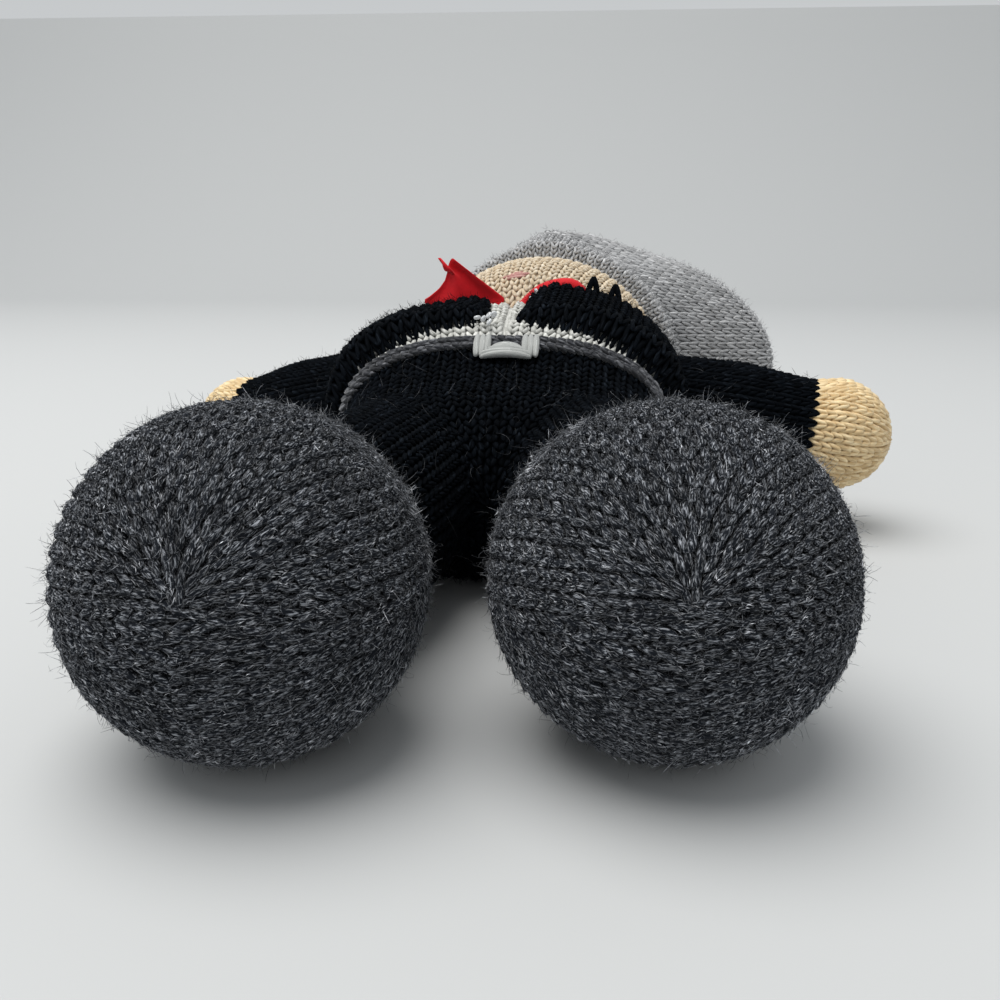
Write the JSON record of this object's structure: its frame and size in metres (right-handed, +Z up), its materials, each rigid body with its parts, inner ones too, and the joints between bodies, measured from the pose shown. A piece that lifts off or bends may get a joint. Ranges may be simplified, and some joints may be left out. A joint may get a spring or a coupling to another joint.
{
  "type": "knitted doll",
  "caption": "Soft hand-knitted doll lying on its back, with ball-shaped shoes, belted trousers, an open jacket, a neck scarf and a slouchy hat; its stuffed limbs and head flop at their seams.",
  "frame": {"origin": "on the flat of the jacket's back that the doll lies on, midway across the doll", "axes": "+X towards the doll's left hand, +Y from the feet to the head, +Z up from the floor through the chest"},
  "size_m": [0.2834, 0.3841, 0.1055],
  "materials": {
    "black_knit": "black stockinette with a little grey fuzz",
    "charcoal_knit": "marled charcoal stockinette with a fuzzy halo",
    "belt_knit": "dark grey mottled knit",
    "heather_knit": "grey heather stockinette",
    "cream_knit": "cream stockinette",
    "white_knit": "off-white stockinette",
    "buckle_yarn": "pale grey embroidery yarn",
    "mouth_yarn": "mauve pink embroidery yarn",
    "eye_yarn": "dark embroidery yarn",
    "red_cotton": "fine red cotton cloth",
    "clear_bead": "clear silvery glass bead",
    "fibre_fill": "loose polyester fibre"
  },
  "bodies": {
    "torso": {"trouser_seat": "black_knit", "shirt_body": "white_knit", "body_stuffing": "fibre_fill", "waist_belt": "belt_knit", "belt_buckle": "buckle_yarn", "jacket_back": "black_knit", "jacket_left_front": "black_knit", "jacket_right_front": "black_knit", "scarf_band": "red_cotton", "scarf_tail": "red_cotton", "right_lapel_beads": "clear_bead", "left_lapel_beads": "clear_bead"},
    "head": {"head_cover": "cream_knit", "head_stuffing": "fibre_fill", "mouth_stitch": "mouth_yarn", "left_eye": "eye_yarn", "right_eye": "eye_yarn", "hat_brim": "heather_knit", "hat_crown": "heather_knit"},
    "left_arm": {"left_sleeve": "black_knit", "left_hand": "cream_knit", "left_arm_stuffing": "fibre_fill"},
    "right_arm": {"right_sleeve": "black_knit", "right_hand": "cream_knit", "right_arm_stuffing": "fibre_fill"},
    "left_leg": {"left_trouser_leg": "black_knit", "left_shoe": "charcoal_knit", "left_leg_stuffing": "fibre_fill"},
    "right_leg": {"right_trouser_leg": "black_knit", "right_shoe": "charcoal_knit", "right_leg_stuffing": "fibre_fill"}
  },
  "joints": [
    {"name": "left_hip", "type": "hinge", "parent": "torso", "child": "left_leg", "pos_m": [0.0305, -0.066, 0.0635], "axis": [-1, 0, 0], "range_deg": [0, 85]},
    {"name": "right_hip", "type": "hinge", "parent": "torso", "child": "right_leg", "pos_m": [-0.0305, -0.066, 0.0635], "axis": [-1, 0, 0], "range_deg": [0, 85]},
    {"name": "left_shoulder", "type": "hinge", "parent": "torso", "child": "left_arm", "pos_m": [0.0643, 0.016, 0.066], "axis": [0, -1, 0], "range_deg": [0, 75]},
    {"name": "right_shoulder", "type": "hinge", "parent": "torso", "child": "right_arm", "pos_m": [-0.0643, 0.016, 0.066], "axis": [0, 1, 0], "range_deg": [0, 75]},
    {"name": "neck", "type": "hinge", "parent": "torso", "child": "head", "pos_m": [0, 0.041, 0.0434], "axis": [0, 0, 1], "range_deg": [-14, 36]}
  ]
}
